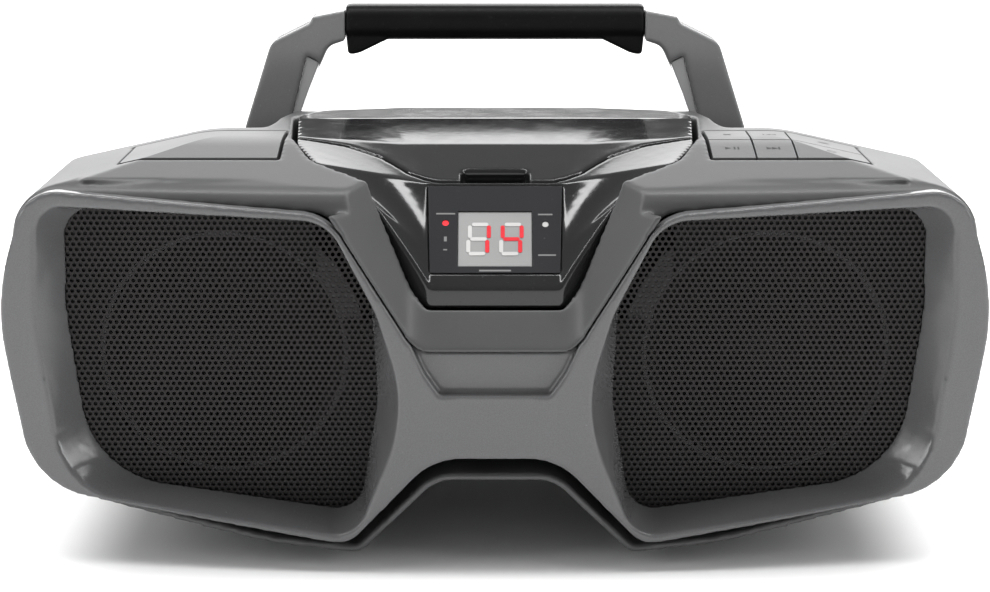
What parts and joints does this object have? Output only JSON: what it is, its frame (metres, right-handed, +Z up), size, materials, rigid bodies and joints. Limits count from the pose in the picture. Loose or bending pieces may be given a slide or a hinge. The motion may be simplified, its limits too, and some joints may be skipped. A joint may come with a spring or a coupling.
{
  "type": "cd boombox",
  "caption": "Portable disc player with two front speakers behind perforated grilles, a hinged disc door, a number display, top keys and a carrying handle that folds back.",
  "frame": {"origin": "middle of the footprint, on the surface that the rubber feet stand on", "axes": "+X to the right seen from the front, +Y towards the back, +Z up; the speakers face -Y"},
  "size_m": [0.3114, 0.229, 0.1636],
  "materials": {
    "housing": "fine matte texture",
    "bezel_gloss": "glossy gunmetal",
    "grille_mesh": "perforated, black",
    "inner_plastic": "plain moulded",
    "speaker_steel": "stamped steel",
    "cone_paper": "pressed paper",
    "ferrite": "sintered",
    "deck_gloss": "piano gloss, dark",
    "smoked_panel": "smoked",
    "display_face": "pale",
    "lit_red": "lit red",
    "unlit_segment": "pale, unlit",
    "lamp": "small lamps",
    "circuit_board": "printed board",
    "steel": "bright",
    "rubber": "soft",
    "pickup_plastic": "moulded",
    "handle_gloss": "glossy grey",
    "handle_lining": "glossy, lighter",
    "grip": "black",
    "key_plastic": "fine matte texture",
    "core_steel": "laminated core"
  },
  "bodies": {
    "case": {"battery_box": "inner_plastic", "battery_contacts": "steel", "case_screws": "steel", "cd_well": "inner_plastic", "deck_trim": "deck_gloss", "display_board": "circuit_board", "display_panel": "smoked_panel", "door_hinge_pins": "steel", "drive_chassis": "inner_plastic", "drive_dampers": "rubber", "front_bezel": "bezel_gloss", "handle_pivots": "steel", "key_board": "circuit_board", "left_panel": "key_plastic", "line_socket": "inner_plastic", "lit_segments": "lit_red", "lower_housing": "housing", "main_board": "circuit_board", "mains_inlet": "inner_plastic", "number_display": "display_face", "rubber_feet": "rubber", "sled_rails": "steel", "speaker_baffle": "inner_plastic", "speaker_cone_left": "cone_paper", "speaker_cone_right": "cone_paper", "speaker_frame_left": "speaker_steel", "speaker_frame_right": "speaker_steel", "speaker_grille_left": "grille_mesh", "speaker_grille_right": "grille_mesh", "speaker_magnet_left": "ferrite", "speaker_magnet_right": "ferrite", "spindle_motor": "steel", "status_lamps": "lamp", "transformer": "core_steel", "unlit_segments": "unlit_segment", "upper_housing": "housing", "volume_control": "inner_plastic"},
    "door": {"cd_door": "deck_gloss"},
    "handle": {"handle_frame": "handle_gloss", "handle_lining": "handle_lining", "handle_grip": "grip"},
    "spindle": {"turntable": "inner_plastic"},
    "sled": {"pickup_sled": "pickup_plastic"},
    "volume": {"volume_wheel": "inner_plastic"},
    "cover": {"battery_cover": "housing"},
    "stop_button": {"stop_key": "key_plastic"},
    "play_button": {"play_key": "key_plastic"},
    "next_button": {"next_key": "key_plastic"},
    "mode_button": {"mode_key": "key_plastic"},
    "repeat_button": {"repeat_key": "key_plastic"},
    "previous_button": {"previous_key": "key_plastic"}
  },
  "joints": [
    {"name": "handle_fold", "type": "hinge", "parent": "case", "child": "handle", "pos_m": [0, 0.0595, 0.11], "axis": [-1, 0, 0], "range_deg": [0, 90]},
    {"name": "door_open", "type": "hinge", "parent": "case", "child": "door", "pos_m": [0, 0.064, 0.1188], "axis": [-1, 0, 0], "range_deg": [0, 50]},
    {"name": "turntable_spin", "type": "hinge", "parent": "case", "child": "spindle", "pos_m": [0, -0.0025, 0.1], "axis": [0, 0, 1], "continuous": true},
    {"name": "sled_travel", "type": "slide", "parent": "case", "child": "sled", "axis": [1, 0, 0], "range_m": [0, 0.028]},
    {"name": "volume_turn", "type": "hinge", "parent": "case", "child": "volume", "pos_m": [0.1395, -0.0195, 0.07], "axis": [0, 0, 1], "range_deg": [-150, 150]},
    {"name": "battery_cover_pull", "type": "slide", "parent": "case", "child": "cover", "axis": [0, 1, 0], "range_m": [0, 0.03]},
    {"name": "stop_button_press", "type": "slide", "parent": "case", "child": "stop_button", "axis": [0, 0, -1], "range_m": [0, 0.0015], "stiffness_N_per_m": 300, "springref_m": -0.001},
    {"name": "play_button_press", "type": "slide", "parent": "case", "child": "play_button", "axis": [0, 0, -1], "range_m": [0, 0.0015], "stiffness_N_per_m": 300, "springref_m": -0.001},
    {"name": "next_button_press", "type": "slide", "parent": "case", "child": "next_button", "axis": [0, 0, -1], "range_m": [0, 0.0015], "stiffness_N_per_m": 300, "springref_m": -0.001},
    {"name": "mode_button_press", "type": "slide", "parent": "case", "child": "mode_button", "axis": [0, 0, -1], "range_m": [0, 0.0015], "stiffness_N_per_m": 300, "springref_m": -0.001},
    {"name": "repeat_button_press", "type": "slide", "parent": "case", "child": "repeat_button", "axis": [0, 0, -1], "range_m": [0, 0.0015], "stiffness_N_per_m": 300, "springref_m": -0.001},
    {"name": "previous_button_press", "type": "slide", "parent": "case", "child": "previous_button", "axis": [0, 0, -1], "range_m": [0, 0.0015], "stiffness_N_per_m": 300, "springref_m": -0.001}
  ]
}
